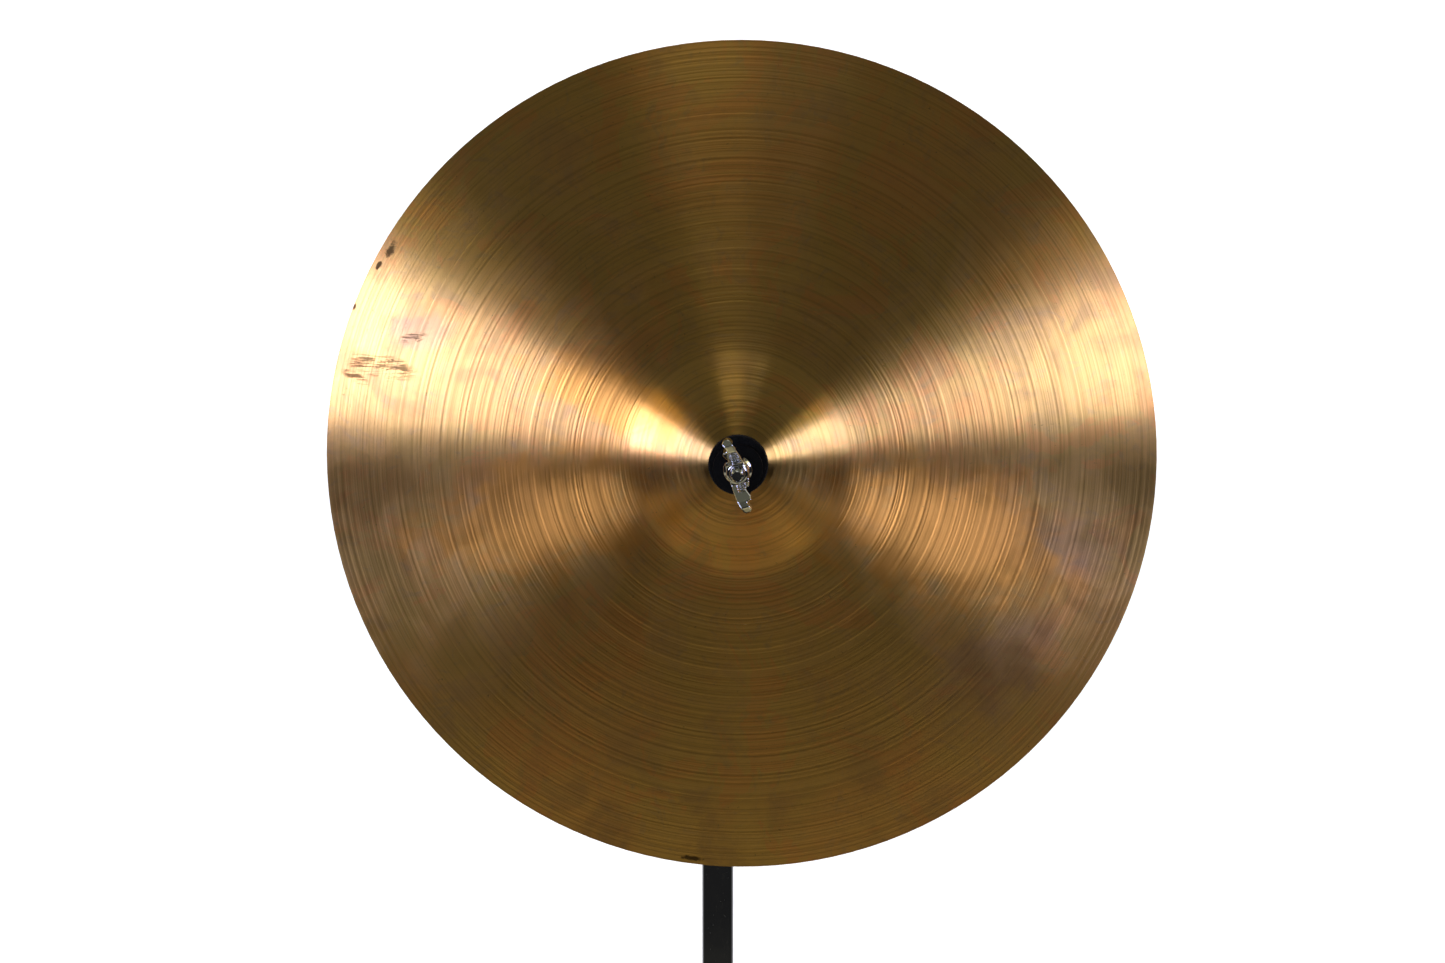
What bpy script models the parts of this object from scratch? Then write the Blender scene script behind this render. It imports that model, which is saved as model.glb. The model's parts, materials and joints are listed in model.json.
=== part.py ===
"""A 16 inch crash cymbal on its holder: disc, felts, wing nut, tilter and the upper tube of a stand.

Units are metres, +Z is up. The origin is the centre of the tube's lower end face, which the stand
below holds. The threaded rod leaves the tilter along -Y, so the cymbal's upper face looks towards -Y.
"""

from math import atan, cos, pi, radians, sin, sqrt

import bmesh
import bpy
from mathutils import Matrix

MM = 0.001
GAP = 0.3 * MM  # kept between any two pieces that touch or fit

# How many flat sides stand for a full circle
PIN_SEGMENTS = 20
ROD_SEGMENTS = 24
DISC_SEGMENTS = 36
TUBE_SEGMENTS = 48
CYMBAL_SEGMENTS = 72
HEAD_ARC_STEPS = 30

# The disc
CYMBAL_RADIUS = 203.2 * MM  # 16 inches across
CYMBAL_HOLE = 5.8 * MM
BELL_RADIUS = 53 * MM
BELL_RISE = 18 * MM
BELL_BLEND = 4 * MM  # how softly the bell's foot runs into the bow
BOW_RISE = 17 * MM
HOLE_THICKNESS = 1.2 * MM
RIM_THICKNESS = 0.7 * MM

# The upper tube of the stand
TUBE_RADIUS = 7.94 * MM
TUBE_WALL = 1.2 * MM
PIVOT_HEIGHT = 360 * MM
TUBE_TOP = PIVOT_HEIGHT - 17 * MM
PLUG_FLANGE = 2.5 * MM
PLUG_DEPTH = 16 * MM
PLUG_CHAMFER = 0.8 * MM

# The tilter: two discs on a cross screw along X
HEAD_RADIUS = 14 * MM
BASE_LEFT = -6 * MM
BASE_RIGHT = 5 * MM
FRICTION_DISC_RADIUS = 12.5 * MM
FRICTION_DISC_THICKNESS = 1 * MM
ARM_LEFT = BASE_RIGHT + FRICTION_DISC_THICKNESS + 2 * GAP
ARM_WIDTH = 11.8 * MM
ARM_RIGHT = ARM_LEFT + ARM_WIDTH
ARM_BOSS_RADIUS = 5.88 * MM
ROD_X = (ARM_LEFT + ARM_RIGHT) / 2
SOCKET_RADIUS = 10.3 * MM
SOCKET_BOTTOM = PIVOT_HEIGHT - 40 * MM
SOCKET_TOP = PIVOT_HEIGHT - 14.8 * MM
SOCKET_CHAMFER = 1 * MM
NECK_LENGTH = 16.9 * MM
NECK_HALF_WIDTH = 8 * MM
NECK_SHOULDER = radians(8)
ARM_SHOULDER = radians(62)
ARM_NECK_LENGTH = 16 * MM
ARM_BOSS_START = 10 * MM
ARM_BOSS_CHAMFER = 0.8 * MM
PIN_RADIUS = 1.5 * MM
PIN_REACH = SOCKET_RADIUS + 0.4 * MM
PIN_HEIGHT = PIVOT_HEIGHT - 29 * MM

# M6 threads, drawn at their outer diameter
THREAD_RADIUS = 3 * MM
THREAD_HOLE = THREAD_RADIUS + GAP
NUT_ACROSS_FLATS = 10 * MM
NUT_THICKNESS = 5 * MM
CLAMP_SCREW_LEFT = BASE_LEFT - 0.5 * MM
CLAMP_WASHER_THICKNESS = 1.2 * MM
CLAMP_WASHER_RADIUS = 7.5 * MM
SPRING_WASHER_RADIUS = 6 * MM
SPRING_WASHER_HEIGHT = 1.5 * MM
SPRING_WASHER_SHEET = 0.8 * MM
SCREW_CHAMFER = 0.6 * MM
CLAMP_HEAD_LEFT = ARM_RIGHT + CLAMP_WASHER_THICKNESS + SPRING_WASHER_HEIGHT + 3 * GAP

# What is threaded on the rod, as distances from the pivot along the rod
ARM_BOSS_END = 26 * MM
ROD_START = 8.5 * MM
HOLE_PLANE = 75 * MM  # the middle of the sheet at the cymbal's hole
FELT_RADIUS = 14.5 * MM
FELT_BORE = 6.6 * MM
FELT_THICKNESS = 7 * MM
REST_TILT = radians(7)  # how far the cymbal leans back on its felts
LEAN_ROOM = FELT_RADIUS * sin(REST_TILT)
SHEET_HALF = HOLE_THICKNESS / 2
FELT_START = SHEET_HALF + GAP  # from the hole's middle, both ways
SEAT_WASHER_TOP = HOLE_PLANE - FELT_START - FELT_THICKNESS - LEAN_ROOM - GAP
SEAT_WASHER_THICKNESS = 1.5 * MM
SEAT_WASHER_RADIUS = 15 * MM
SEAT_WASHER_FLAT = 12 * MM
SEAT_WASHER_SHEET = 0.9 * MM
SLEEVE_RADIUS = 4.8 * MM
SLEEVE_FLANGE_RADIUS = 9 * MM
SLEEVE_FLANGE_THICKNESS = 3 * MM
SLEEVE_START = SEAT_WASHER_TOP - SEAT_WASHER_THICKNESS - GAP - SLEEVE_FLANGE_THICKNESS
TOP_WASHER_START = HOLE_PLANE + FELT_START + FELT_THICKNESS + LEAN_ROOM + GAP
TOP_WASHER_THICKNESS = 1.6 * MM
TOP_WASHER_RADIUS = 12 * MM
SLEEVE_END = TOP_WASHER_START - GAP
WING_NUT_START = TOP_WASHER_START + TOP_WASHER_THICKNESS + GAP
ROD_END = WING_NUT_START + 16.5 * MM
ROD_CHAMFER = 0.8 * MM

# The two winged heads, measured from the screw's axis and from the boss's foot
BOSS_RADIUS = 5.3 * MM
BOSS_HEIGHT = 11 * MM
BOSS_FLANGE_RADIUS = 7 * MM
BOSS_FLANGE_HEIGHT = 2.4 * MM
BOSS_SHOULDER = 1.2 * MM
BOSS_CHAMFER = 0.8 * MM
WING_HEIGHT = 18 * MM
WING_HALF_WIDTH = 5 * MM
WING_NUT_TURN = radians(106.6)
CLAMP_WING_TURN = radians(35)
CLAMP_HOLE_DEPTH = 8 * MM

CHROME = ("chrome", (0.78, 0.79, 0.8), 0.08, 1.0)
CAST_CHROME = ("cast_chrome", (0.74, 0.75, 0.76), 0.16, 1.0)
STEEL = ("zinc_steel", (0.58, 0.58, 0.56), 0.35, 1.0)
BRONZE = ("cymbal_bronze", (0.62, 0.38, 0.15), 0.3, 1.0)
BLACK_FELT = ("black_felt", (0.012, 0.012, 0.012), 0.95, 0.0)
BLACK_NYLON = ("black_nylon", (0.02, 0.02, 0.02), 0.4, 0.0)
FIBRE = ("friction_fibre", (0.16, 0.09, 0.05), 0.8, 0.0)


def clear_scene():
    for old in list(bpy.data.objects):
        bpy.data.objects.remove(old)


def material_of(finish):
    name, colour, roughness, metallic = finish
    material = bpy.data.materials.get(name)
    if material:
        return material
    material = bpy.data.materials.new(name)
    material.use_nodes = True
    shader = material.node_tree.nodes["Principled BSDF"]
    shader.inputs["Base Color"].default_value = (*colour, 1)
    shader.inputs["Roughness"].default_value = roughness
    shader.inputs["Metallic"].default_value = metallic
    return material


def axis_empty(name, location, turn_about_x=0.0, turn_about_y=0.0, parent=None):
    """A local frame: its Z axis is the axis that the pieces parented to it are turned about."""
    empty = bpy.data.objects.new(name, None)
    bpy.context.scene.collection.objects.link(empty)
    empty.location = location
    empty.rotation_euler = (turn_about_x, turn_about_y, 0)
    empty.parent = parent
    return empty


def add_object(name, bm, finish, parent=None, height=0.0, turn=0.0):
    """The finished mesh as an object, at this height and turn in its parent's frame."""
    bmesh.ops.recalc_face_normals(bm, faces=bm.faces)
    mesh = bpy.data.meshes.new(name)
    bm.to_mesh(mesh)
    bm.free()
    mesh.materials.append(material_of(finish))
    mesh.shade_smooth()
    mesh.set_sharp_from_angle(angle=radians(30))
    obj = bpy.data.objects.new(name, mesh)
    bpy.context.scene.collection.objects.link(obj)
    obj.parent = parent
    obj.location = (0, 0, height)
    obj.rotation_euler = (0, 0, turn)
    return obj


def turned(outline, segments):
    """Turns (radius, height) points about Z. An outline that starts on the axis ends on it too."""
    bm = bmesh.new()
    points = [bm.verts.new((radius, 0, height)) for radius, height in outline]
    ends_on_axis = outline[0][0] == 0
    following = points[1:] if ends_on_axis else points[1:] + points[:1]
    edges = [bm.edges.new(pair) for pair in zip(points, following)]
    bmesh.ops.spin(
        bm,
        geom=points + edges,
        cent=(0, 0, 0),
        axis=(0, 0, 1),
        angle=2 * pi,
        steps=segments,
        use_merge=True,
    )
    bmesh.ops.remove_doubles(bm, verts=bm.verts, dist=1e-6)
    bmesh.ops.dissolve_degenerate(bm, edges=bm.edges, dist=1e-7)
    return bm


def ring_outline(inner, outer, low, high):
    return [(inner, low), (outer, low), (outer, high), (inner, high)]


def disc_outline(radius, low, high, chamfer=0.0):
    side = [(radius, low + chamfer), (radius, high - chamfer)]
    ends = [(radius - chamfer, low)] + side + [(radius - chamfer, high)] if chamfer else side
    return [(0, low)] + ends + [(0, high)]


def extruded(outline, low, high):
    """Extrudes a flat outline of (x, y) points from one height to another."""
    bm = bmesh.new()
    face = bm.faces.new([bm.verts.new((x, y, low)) for x, y in outline])
    made = bmesh.ops.extrude_face_region(bm, geom=[face])["geom"]
    moved = [v for v in made if isinstance(v, bmesh.types.BMVert)]
    bmesh.ops.translate(bm, verts=moved, vec=(0, 0, high - low))
    return bm


def arc(centre, radius, start, end, steps):
    """Points on an arc in the (x, y) plane, both ends included."""
    angles = [start + (end - start) * i / steps for i in range(steps + 1)]
    return [(centre[0] + radius * cos(a), centre[1] + radius * sin(a)) for a in angles]


def hexagon(across_flats):
    corner = across_flats / sqrt(3)
    return [(corner * cos(i * pi / 3), corner * sin(i * pi / 3)) for i in range(6)]


def combine(obj, other, operation):
    """Adds other to obj or cuts it away, and turns other into a hidden helper."""
    modifier = obj.modifiers.new(f"{operation.lower()}_{other.name}", "BOOLEAN")
    modifier.operation = operation
    modifier.solver = "EXACT"
    modifier.object = other
    other.hide_render = True
    other.display_type = "WIRE"


def bow_height(radius):
    """The bow is nearly flat round the bell and falls off towards the rim."""
    return BOW_RISE * (1 - (radius / CYMBAL_RADIUS) ** 3)


def bell_height(radius):
    dome = BELL_RISE * (1 - (radius / BELL_RADIUS) ** 2)
    return (dome + sqrt(dome**2 + BELL_BLEND**2)) / 2


def top_height(radius):
    """The cymbal's upper face above the plane of its rim."""
    return bow_height(radius) + bell_height(radius)


def under_height(radius):
    step = 0.1 * MM
    slope = (top_height(radius + step) - top_height(radius - step)) / (2 * step)
    share = (radius - CYMBAL_HOLE) / (CYMBAL_RADIUS - CYMBAL_HOLE)
    thickness = HOLE_THICKNESS + (RIM_THICKNESS - HOLE_THICKNESS) * share
    return top_height(radius) - thickness / cos(atan(slope))


def sheet_faces(radius):
    """Both faces of the sheet, upper one first, from the middle of the sheet at the hole."""
    middle = (top_height(CYMBAL_HOLE) + under_height(CYMBAL_HOLE)) / 2
    return top_height(radius) - middle, under_height(radius) - middle


def make_cymbal(frame):
    """The disc. Its frame's origin is the middle of the sheet at the hole."""
    bell_steps, bow_steps = 7, 5
    bell_end = 1.2 * BELL_RADIUS
    bell = [CYMBAL_HOLE + (bell_end - CYMBAL_HOLE) * i / bell_steps for i in range(bell_steps)]
    bow = [bell_end + (CYMBAL_RADIUS - bell_end) * i / bow_steps for i in range(bow_steps + 1)]
    radii = bell + bow
    top = [(r, sheet_faces(r)[0]) for r in radii]
    under = [(r, sheet_faces(r)[1]) for r in reversed(radii)]
    add_object("cymbal", turned(top + under, CYMBAL_SEGMENTS), BRONZE, frame)


def make_felts(frame):
    """Two felt washers pressed to the bell's shape, one on each side of the sheet."""
    steps = 3
    radii = [FELT_BORE + (FELT_RADIUS - FELT_BORE) * i / steps for i in range(steps + 1)]
    upper = [(r, sheet_faces(r)[0] + GAP) for r in radii]
    upper += [(FELT_RADIUS, FELT_START + FELT_THICKNESS), (FELT_BORE, FELT_START + FELT_THICKNESS)]
    lower = [(r, sheet_faces(r)[1] - GAP) for r in radii]
    lower += [(FELT_RADIUS, -FELT_START - FELT_THICKNESS), (FELT_BORE, -FELT_START - FELT_THICKNESS)]
    add_object("upper_felt", turned(upper, DISC_SEGMENTS), BLACK_FELT, frame)
    add_object("lower_felt", turned(lower, DISC_SEGMENTS), BLACK_FELT, frame)


def make_seat(frame):
    """The cupped washer under the lower felt and the flanged sleeve that keeps metal off the rod."""
    top, low = SEAT_WASHER_TOP, SEAT_WASHER_TOP - SEAT_WASHER_THICKNESS
    bore = SLEEVE_RADIUS + GAP
    sheet = SEAT_WASHER_SHEET
    cup = [
        (bore, low),
        (SEAT_WASHER_FLAT, low),
        (SEAT_WASHER_RADIUS, low + sheet),
        (SEAT_WASHER_RADIUS, top),
        (SEAT_WASHER_RADIUS - sheet, top),
        (SEAT_WASHER_FLAT - sheet / 2, low + sheet),
        (bore, low + sheet),
    ]
    add_object("seat_washer", turned(cup, DISC_SEGMENTS), CHROME, frame)
    flange = SLEEVE_START + SLEEVE_FLANGE_THICKNESS
    sleeve = [
        (THREAD_HOLE, SLEEVE_START),
        (SLEEVE_FLANGE_RADIUS, SLEEVE_START),
        (SLEEVE_FLANGE_RADIUS, flange),
        (SLEEVE_RADIUS, flange),
        (SLEEVE_RADIUS, SLEEVE_END),
        (THREAD_HOLE, SLEEVE_END),
    ]
    add_object("seat_sleeve", turned(sleeve, DISC_SEGMENTS), BLACK_NYLON, frame)
    outline = ring_outline(THREAD_HOLE, TOP_WASHER_RADIUS, 0, TOP_WASHER_THICKNESS)
    add_object("top_washer", turned(outline, DISC_SEGMENTS), BLACK_NYLON, frame, TOP_WASHER_START)


def make_rod(frame):
    """The threaded rod with its two hex nuts."""
    outline = disc_outline(THREAD_RADIUS, ROD_START, ROD_END, ROD_CHAMFER)
    add_object("cymbal_rod", turned(outline, ROD_SEGMENTS), STEEL, frame)
    make_hex_nut("rod_jam_nut", frame, ARM_BOSS_END + GAP)
    make_hex_nut("seat_stop_nut", frame, SLEEVE_START - GAP - NUT_THICKNESS)


def make_hex_nut(name, frame, height):
    blank = extruded(hexagon(NUT_ACROSS_FLATS), 0, NUT_THICKNESS)
    nut = add_object(name, blank, STEEL, frame, height)
    hole = turned(disc_outline(THREAD_HOLE, -MM, NUT_THICKNESS + MM), ROD_SEGMENTS)
    combine(nut, add_object(name + "_hole", hole, STEEL, frame, height), "DIFFERENCE")


def wing_plan():
    """Half of the wings seen along the screw: one side is straight, the other has two grip steps."""
    straight = [(-4.8, 0), (-4.1, 8), (-3, 14), (-1.9, 17.6)]
    tip = [(-0.5, 18.9), (1.2, 18.5), (2.4, 17)]
    stepped = [(1, 13.1), (3.3, 12.5), (3.7, 11), (1.9, 7.3), (3.9, 6.7), (4.5, 4.5)]
    return [(reach * MM, side * MM) for side, reach in straight + tip + stepped]


def wing_side():
    """Half of the wings seen from the side, rising outwards from the boss."""
    points = [(2, 2.2), (7, 3.2), (12.5, 6.6), (17, 10.2), (19.1, 13.5), (18.4, 16.6)]
    points += [(15.4, 18), (12, 17), (8, 13.6), (5, 10.8), (2, 10.6)]
    return [(reach * MM, height * MM) for reach, height in points]


def mirrored_round(points):
    """The outline and its half-turn about the axis, as one closed outline."""
    return points + [(-x, -y) for x, y in points]


def make_winged_boss(name, finish, frame, height, turn, hole_top):
    """A cast boss with two wings. The screw's hole ends at hole_top above its foot."""
    blank = extruded(mirrored_round(wing_plan()), 0, WING_HEIGHT + MM)
    wings = add_object(name, blank, finish, frame, height, turn)
    side = wing_side()
    profile = side + [(-reach, rise) for reach, rise in reversed(side)]
    bm = extruded(profile, -WING_HALF_WIDTH, WING_HALF_WIDTH)
    bmesh.ops.rotate(bm, verts=bm.verts, matrix=Matrix.Rotation(pi / 2, 3, "X"))
    cutter = add_object(name + "_side", bm, finish, frame, height, turn)
    combine(wings, cutter, "INTERSECT")
    boss = [
        (0, 0),
        (BOSS_FLANGE_RADIUS, 0),
        (BOSS_FLANGE_RADIUS, BOSS_FLANGE_HEIGHT),
        (BOSS_RADIUS, BOSS_FLANGE_HEIGHT + BOSS_SHOULDER),
        (BOSS_RADIUS, BOSS_HEIGHT - BOSS_CHAMFER),
        (BOSS_RADIUS - BOSS_CHAMFER, BOSS_HEIGHT),
        (0, BOSS_HEIGHT),
    ]
    boss_bm = turned(boss, DISC_SEGMENTS)
    combine(wings, add_object(name + "_boss", boss_bm, finish, frame, height, turn), "UNION")
    hole = turned(disc_outline(THREAD_HOLE, -MM, hole_top), ROD_SEGMENTS)
    combine(wings, add_object(name + "_hole", hole, finish, frame, height, turn), "DIFFERENCE")


def make_tube():
    wall = ring_outline(TUBE_RADIUS - TUBE_WALL, TUBE_RADIUS, PLUG_FLANGE + GAP, TUBE_TOP)
    tube = add_object("upper_tube", turned(wall, TUBE_SEGMENTS), CHROME)
    combine(tube, pin_hole("tube_pin_hole"), "DIFFERENCE")
    stem = TUBE_RADIUS - TUBE_WALL - GAP
    plug = [
        (0, 0),
        (TUBE_RADIUS - PLUG_CHAMFER, 0),
        (TUBE_RADIUS, PLUG_CHAMFER),
        (TUBE_RADIUS, PLUG_FLANGE),
        (stem, PLUG_FLANGE),
        (stem, PLUG_DEPTH),
        (0, PLUG_DEPTH),
    ]
    add_object("tube_end_plug", turned(plug, TUBE_SEGMENTS), BLACK_NYLON)


def cross_frame(height):
    """A frame whose Z axis runs along +X, at this height on the tube's axis."""
    return axis_empty(f"cross_axis_{round(height / MM)}", (0, 0, height), turn_about_y=pi / 2)


def pin_hole(name):
    reach = SOCKET_RADIUS + 2 * MM
    outline = disc_outline(PIN_RADIUS + GAP, -reach, reach)
    return add_object(name, turned(outline, PIN_SEGMENTS), STEEL, cross_frame(PIN_HEIGHT))


def make_tilter_base():
    """The casting on the tube: a socket below and the fixed disc above."""
    frame = cross_frame(PIVOT_HEIGHT)
    # In this frame +x points down and +y points along +Y.
    neck_start = atan(NECK_HALF_WIDTH / NECK_LENGTH) + NECK_SHOULDER
    head = arc((0, 0), HEAD_RADIUS, neck_start, 2 * pi - neck_start, HEAD_ARC_STEPS)
    outline = head + [(NECK_LENGTH, -NECK_HALF_WIDTH), (NECK_LENGTH, NECK_HALF_WIDTH)]
    base = add_object("tilter_base", extruded(outline, BASE_LEFT, BASE_RIGHT), CAST_CHROME, frame)
    socket = disc_outline(SOCKET_RADIUS, SOCKET_BOTTOM, SOCKET_TOP, SOCKET_CHAMFER)
    combine(base, add_object("socket", turned(socket, TUBE_SEGMENTS), CAST_CHROME), "UNION")
    room = disc_outline(TUBE_RADIUS + GAP, SOCKET_BOTTOM - MM, TUBE_TOP + GAP)
    combine(base, add_object("socket_room", turned(room, TUBE_SEGMENTS), CAST_CHROME), "DIFFERENCE")
    combine(base, pin_hole("base_pin_hole"), "DIFFERENCE")
    # The clearance hole for the cross screw and the pocket of its nut
    bore = turned(disc_outline(THREAD_HOLE, BASE_LEFT - MM, BASE_RIGHT + MM), ROD_SEGMENTS)
    combine(base, add_object("base_bore", bore, STEEL, frame), "DIFFERENCE")
    pocket_end = BASE_LEFT + NUT_THICKNESS + 2 * GAP
    pocket = extruded(hexagon(NUT_ACROSS_FLATS + 2 * GAP), BASE_LEFT - MM, pocket_end)
    combine(base, add_object("nut_pocket", pocket, STEEL, frame), "DIFFERENCE")
    make_hex_nut("clamp_nut", frame, BASE_LEFT + GAP)
    pin = turned(disc_outline(PIN_RADIUS, -PIN_REACH, PIN_REACH, GAP), PIN_SEGMENTS)
    add_object("tube_pin", pin, STEEL, cross_frame(PIN_HEIGHT))


def make_tilter_arm(rod_frame):
    """The moving disc with the boss that the rod is screwed into, and the fibre disc behind it."""
    frame = cross_frame(PIVOT_HEIGHT)
    # In this frame +x points down and -y points along the rod.
    half = ARM_WIDTH / 2
    head = arc((0, 0), HEAD_RADIUS, -ARM_SHOULDER, pi + ARM_SHOULDER, HEAD_ARC_STEPS)
    outline = head + [(-half, -ARM_NECK_LENGTH), (half, -ARM_NECK_LENGTH)]
    arm = add_object("tilter_arm", extruded(outline, ARM_LEFT, ARM_RIGHT), CAST_CHROME, frame)
    boss = disc_outline(ARM_BOSS_RADIUS, ARM_BOSS_START, ARM_BOSS_END, ARM_BOSS_CHAMFER)
    combine(arm, add_object("rod_boss", turned(boss, DISC_SEGMENTS), CAST_CHROME, rod_frame), "UNION")
    bore = turned(disc_outline(THREAD_HOLE, ARM_LEFT - MM, ARM_RIGHT + MM), ROD_SEGMENTS)
    combine(arm, add_object("arm_bore", bore, STEEL, frame), "DIFFERENCE")
    thread = turned(disc_outline(THREAD_HOLE, ROD_START - GAP, ARM_BOSS_END + MM), ROD_SEGMENTS)
    combine(arm, add_object("rod_thread", thread, STEEL, rod_frame), "DIFFERENCE")
    fibre = ring_outline(THREAD_HOLE, FRICTION_DISC_RADIUS, 0, FRICTION_DISC_THICKNESS)
    add_object("friction_disc", turned(fibre, DISC_SEGMENTS), FIBRE, frame, BASE_RIGHT + GAP)


def make_cross_screw():
    """The wing screw that clamps the two discs, with its two washers."""
    frame = cross_frame(PIVOT_HEIGHT)
    washer = ring_outline(THREAD_HOLE, CLAMP_WASHER_RADIUS, 0, CLAMP_WASHER_THICKNESS)
    add_object("clamp_washer", turned(washer, DISC_SEGMENTS), STEEL, frame, ARM_RIGHT + GAP)
    spring = [
        (THREAD_HOLE, SPRING_WASHER_HEIGHT - SPRING_WASHER_SHEET),
        (SPRING_WASHER_RADIUS, 0),
        (SPRING_WASHER_RADIUS, SPRING_WASHER_SHEET),
        (THREAD_HOLE, SPRING_WASHER_HEIGHT),
    ]
    height = ARM_RIGHT + CLAMP_WASHER_THICKNESS + 2 * GAP
    add_object("spring_washer", turned(spring, DISC_SEGMENTS), STEEL, frame, height)
    head, turn = CLAMP_HEAD_LEFT, CLAMP_WING_TURN
    make_winged_boss("clamp_wing", CAST_CHROME, frame, head, turn, CLAMP_HOLE_DEPTH)
    end = CLAMP_HEAD_LEFT + CLAMP_HOLE_DEPTH - GAP
    screw = disc_outline(THREAD_RADIUS, CLAMP_SCREW_LEFT, end, SCREW_CHAMFER)
    add_object("clamp_screw", turned(screw, ROD_SEGMENTS), STEEL, frame)


def main():
    clear_scene()
    rod_frame = axis_empty("rod_axis", (ROD_X, 0, PIVOT_HEIGHT), pi / 2)
    hole_middle = (ROD_X, -HOLE_PLANE, PIVOT_HEIGHT)
    cymbal_frame = axis_empty("cymbal_axis", hole_middle, pi / 2 - REST_TILT)
    make_cymbal(cymbal_frame)
    make_felts(cymbal_frame)
    make_seat(rod_frame)
    make_rod(rod_frame)
    through = BOSS_HEIGHT + MM
    make_winged_boss("wing_nut", CHROME, rod_frame, WING_NUT_START, WING_NUT_TURN, through)
    make_tube()
    make_tilter_base()
    make_tilter_arm(rod_frame)
    make_cross_screw()


main()
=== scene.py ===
"""The finished looks of a 16 inch crash cymbal on its tilter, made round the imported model, in metres."""

import json
from math import asin, cos, pi, radians, sin, sqrt, tan

import bmesh
import bpy
from mathutils import Matrix, Vector


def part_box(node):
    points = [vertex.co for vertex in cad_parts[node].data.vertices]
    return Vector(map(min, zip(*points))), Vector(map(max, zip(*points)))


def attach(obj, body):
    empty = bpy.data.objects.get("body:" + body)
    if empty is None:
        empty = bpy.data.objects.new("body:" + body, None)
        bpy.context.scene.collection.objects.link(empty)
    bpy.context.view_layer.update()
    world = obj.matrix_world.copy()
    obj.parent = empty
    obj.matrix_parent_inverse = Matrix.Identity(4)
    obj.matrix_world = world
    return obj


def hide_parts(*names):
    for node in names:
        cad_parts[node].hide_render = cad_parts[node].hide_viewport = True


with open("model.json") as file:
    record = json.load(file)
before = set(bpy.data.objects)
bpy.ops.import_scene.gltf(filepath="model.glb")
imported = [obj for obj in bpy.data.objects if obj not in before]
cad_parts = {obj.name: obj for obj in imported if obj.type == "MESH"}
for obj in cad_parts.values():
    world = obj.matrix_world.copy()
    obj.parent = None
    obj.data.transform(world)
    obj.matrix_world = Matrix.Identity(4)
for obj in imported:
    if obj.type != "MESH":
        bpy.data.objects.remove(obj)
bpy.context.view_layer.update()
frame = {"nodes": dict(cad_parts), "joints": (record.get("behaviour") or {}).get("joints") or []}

MM = 0.001
scene = bpy.context.scene
nodes = frame["nodes"]
joints = {joint["name"]: joint for joint in frame["joints"]}

# ---------------------------------------------------------------- places, all from the frame

swing_centre = Vector(joints["cymbal_swing"]["pos_m"])  # the middle of the sheet at the cymbal's hole
cymbal_axis = Vector(joints["cymbal_spin"]["axis"])
lean = asin(cymbal_axis.z)
pivot_height = swing_centre.z
# In each of these frames the piece is turned about local Z.
ROD_FRAME = Matrix.Translation((swing_centre.x, 0, pivot_height)) @ Matrix.Rotation(pi / 2, 4, "X")
CYMBAL_FRAME = Matrix.Translation(swing_centre) @ Matrix.Rotation(pi / 2 - lean, 4, "X")
CROSS_FRAME = Matrix.Translation((0, 0, pivot_height)) @ Matrix.Rotation(pi / 2, 4, "Y")
TUBE_FRAME = Matrix.Identity(4)


def span(node, axis):
    """A node's lowest and highest value along world X, Y or Z."""
    low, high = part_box(node)
    return low[axis], high[axis]


def radius_of(node, axis=0):
    """Half of a round node's width along a world axis."""
    low, high = span(node, axis)
    return (high - low) / 2


def rod_span(node):
    """Where a node starts and ends along the rod, as distances from the tilter's pivot."""
    low, high = span(node, 1)
    return -high, -low


# The disc, as its solid has it
RIM_RADIUS = radius_of("cymbal")
HOLE_RADIUS = 5.8 * MM
BELL_RADIUS = 53 * MM
BELL_RISE = 18 * MM
BELL_BLEND = 4 * MM
BOW_RISE = 17 * MM
HOLE_THICKNESS = 1.2 * MM
RIM_THICKNESS = 0.7 * MM
GROOVE_PITCH = 3.5 * MM
GROOVE_DEPTH = 0.15 * MM
FINE_PITCH = 1.75 * MM
FINE_DEPTH = 0.04 * MM
GROOVE_RIM_SHARE = 0.55  # how deep the grooves are near the rim, as a share of their depth near the bell
HOLE_FADE = (3 * MM, 12 * MM)  # how far from the hole's edge they begin and reach that depth
RIM_FADE = (90 * MM, 150 * MM)  # between which radii they get shallower
HAMMER_DEPTH = 0.05 * MM
SLOPE_ALLOWANCE = 1.03  # the sheet slopes, so it is thicker when measured along its axis


# ---------------------------------------------------------------- wiring of node trees


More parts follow.
